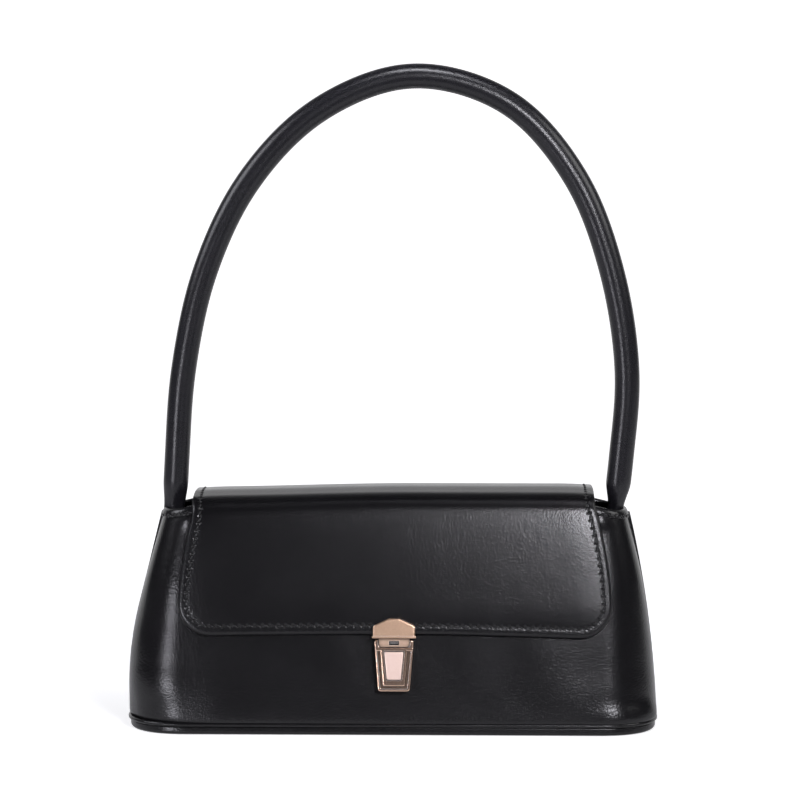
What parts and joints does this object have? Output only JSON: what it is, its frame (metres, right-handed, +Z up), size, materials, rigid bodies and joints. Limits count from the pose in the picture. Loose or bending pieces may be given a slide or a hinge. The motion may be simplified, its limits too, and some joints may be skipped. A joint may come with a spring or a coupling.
{
  "type": "baguette bag",
  "caption": "Small shoulder bag with a rounded base, a fold-over flap closed by a push-button tuck lock, and a rolled arch handle.",
  "frame": {"origin": "centre of the base's underside, where the bag stands", "axes": "+Z up, +X along the bag's length to the viewer's right, -Y towards the viewer, out of the flap's front"},
  "size_m": [0.261, 0.0747, 0.3265],
  "materials": {
    "leather": "smooth, fine grain, soft sheen",
    "lining": "plain woven",
    "board": "pressed fibreboard",
    "core": "twisted cord",
    "gold_metal": "polished rose gold plate",
    "steel": "plain"
  },
  "bodies": {
    "bag": {"front_panel": "leather", "back_panel": "leather", "front_hem": "leather", "back_hem": "leather", "side_welt_left": "leather", "side_welt_right": "leather", "base_panel": "leather", "base_piping": "leather", "flap_strip": "leather", "handle_tab_left": "leather", "handle_tab_right": "leather", "front_lining": "lining", "back_lining": "lining", "base_lining": "lining", "slip_pocket": "lining", "base_board": "board", "lock_body": "gold_metal", "lock_base": "steel", "lock_back_plate": "steel", "lock_rivets": "steel", "lock_spring": "steel"},
    "flap_top": {"flap_top_leather": "leather", "flap_top_lining": "lining"},
    "flap_front": {"flap_front_leather": "leather", "flap_front_lining": "lining", "flap_board": "board", "hasp_cap": "gold_metal", "hasp_tongue": "gold_metal", "hasp_plate": "steel", "hasp_posts": "gold_metal"},
    "handle": {"handle_cover": "leather", "handle_core": "core"},
    "button": {"lock_button": "gold_metal", "lock_catch": "steel"}
  },
  "joints": [
    {"name": "flap_hinge", "type": "hinge", "parent": "bag", "child": "flap_top", "pos_m": [0, 0.0223, 0.10921], "axis": [-1, 0, 0], "range_deg": [0, 75]},
    {"name": "crease_hinge", "type": "hinge", "parent": "flap_top", "child": "flap_front", "pos_m": [0, -0.02178, 0.11242], "axis": [-1, 0, 0], "range_deg": [0, 95]},
    {"name": "handle_swing", "type": "hinge", "parent": "bag", "child": "handle", "pos_m": [0, 0, 0.118], "axis": [1, 0, 0], "range_deg": [-65, 65]},
    {"name": "button_press", "type": "slide", "parent": "bag", "child": "button", "axis": [0, 0.9873, -0.1587], "range_m": [0, 0.0014], "stiffness_N_per_m": 600, "springref_m": -0.001, "deforming": ["lock_spring"]}
  ]
}
